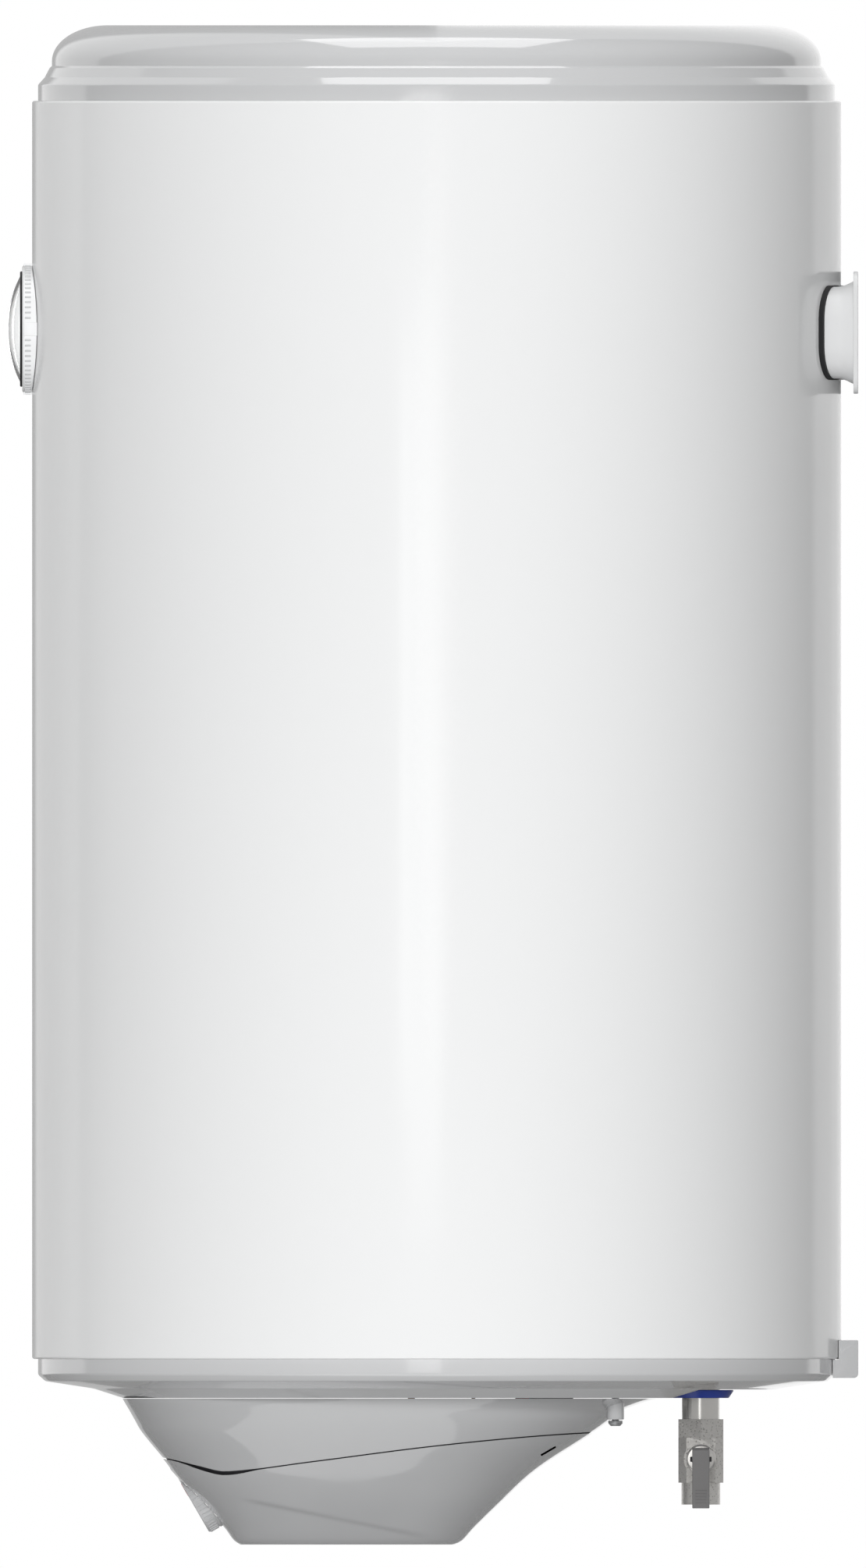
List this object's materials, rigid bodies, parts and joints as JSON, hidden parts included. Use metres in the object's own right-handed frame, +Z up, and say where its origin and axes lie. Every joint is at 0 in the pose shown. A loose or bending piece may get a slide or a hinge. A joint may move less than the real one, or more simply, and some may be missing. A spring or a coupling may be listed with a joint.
{
  "type": "tank water heater",
  "caption": "Wall-hung round electric storage water heater with front thermometer, control cover and knob under the tank, and a safety valve with lever on its cold pipe.",
  "frame": {"origin": "centre of the wall bracket's back face, on the wall", "axes": "+Y into the wall, -Y to the front, +Z up, +X to the right as seen from the front, towards the cold pipe"},
  "size_m": [0.45, 0.4735, 0.8452],
  "materials": {
    "white_enamel": "gloss",
    "grey_plastic": "gloss",
    "dark_plastic": "satin",
    "black_plastic": "satin",
    "white_plastic": "satin",
    "foam": "matte",
    "tank_enamel": "satin",
    "zinc_steel": "satin",
    "nickel_brass": "satin",
    "copper": "satin",
    "magnesium": "matte",
    "rubber": "matte",
    "blue_plastic": "satin",
    "red_plastic": "satin",
    "bracket_paint": "satin",
    "lens": "gloss"
  },
  "bodies": {
    "heater": {"anode_nut": "zinc_steel", "anode_rod": "magnesium", "bottom_cap": "grey_plastic", "bridge_lead": "red_plastic", "carrier_nut": "zinc_steel", "carrier_plate": "zinc_steel", "check_spring": "zinc_steel", "cold_nipple": "zinc_steel", "cold_ring": "blue_plastic", "control_cover_bowl": "grey_plastic", "control_cover_skirt": "grey_plastic", "cord_grommet": "rubber", "cover_screw_1": "zinc_steel", "cover_screw_2": "zinc_steel", "flange_collar": "zinc_steel", "flange_gasket": "rubber", "flange_nut_1": "zinc_steel", "flange_nut_2": "zinc_steel", "flange_nut_3": "zinc_steel", "flange_nut_4": "zinc_steel", "flange_nut_5": "zinc_steel", "flange_plate": "zinc_steel", "gauge_dial": "white_plastic", "gauge_housing": "grey_plastic", "gauge_lens": "lens", "gauge_probe": "copper", "heating_element": "copper", "hot_nipple": "zinc_steel", "hot_ring": "red_plastic", "inlet_diffuser": "white_plastic", "insulation_foam": "foam", "live_lead": "red_plastic", "neutral_lead": "blue_plastic", "outer_jacket": "white_enamel", "outlet_standpipe": "white_plastic", "pilot_lamp": "red_plastic", "rear_spacer": "grey_plastic", "relief_spring": "zinc_steel", "safety_cutout": "black_plastic", "sensor_capillary": "copper", "sensor_pocket": "copper", "tank_bottom_dome": "tank_enamel", "tank_shell": "tank_enamel", "tank_top_dome": "tank_enamel", "terminal_block": "white_plastic", "thermostat_body": "black_plastic", "top_cap": "grey_plastic", "valve_body": "nickel_brass", "valve_bonnet": "nickel_brass", "wall_bracket": "bracket_paint"},
    "knob": {"control_knob": "grey_plastic", "thermostat_spindle": "zinc_steel"},
    "needle": {"gauge_pointer": "red_plastic"},
    "stem": {"relief_stem": "nickel_brass", "lever_pin": "zinc_steel"},
    "lever": {"valve_lever": "dark_plastic"},
    "poppet": {"check_poppet": "black_plastic"},
    "reset": {"reset_button": "red_plastic"}
  },
  "joints": [
    {"name": "knob_turn", "type": "hinge", "parent": "heater", "child": "knob", "pos_m": [0, -0.3697, -0.6523], "axis": [0, 0.866, 0.5], "range_deg": [0, 270]},
    {"name": "needle_turn", "type": "hinge", "parent": "heater", "child": "needle", "pos_m": [0, -0.4565, 0.002], "axis": [0, 1, 0], "range_deg": [0, 270], "stiffness_Nm_per_rad": 0.002},
    {"name": "stem_lift", "type": "slide", "parent": "heater", "child": "stem", "axis": [1, 0, 0], "range_m": [0, 0.003], "stiffness_N_per_m": 800, "springref_m": -0.004, "deforming": ["relief_spring"]},
    {"name": "lever_swing", "type": "hinge", "parent": "stem", "child": "lever", "pos_m": [0.092, -0.0875, -0.6268], "axis": [0, -1, 0], "range_deg": [0, 90]},
    {"name": "poppet_lift", "type": "slide", "parent": "heater", "child": "poppet", "axis": [0, 0, 1], "range_m": [0, 0.004], "stiffness_N_per_m": 60, "springref_m": -0.003, "deforming": ["check_spring"]},
    {"name": "reset_press", "type": "slide", "parent": "heater", "child": "reset", "axis": [0, 0, 1], "range_m": [0, 0.002], "stiffness_N_per_m": 200, "springref_m": -0.001}
  ],
  "couplings": [
    {"joint": "lever_swing", "follows": "stem_lift", "rad_per_m": 523.6}
  ]
}
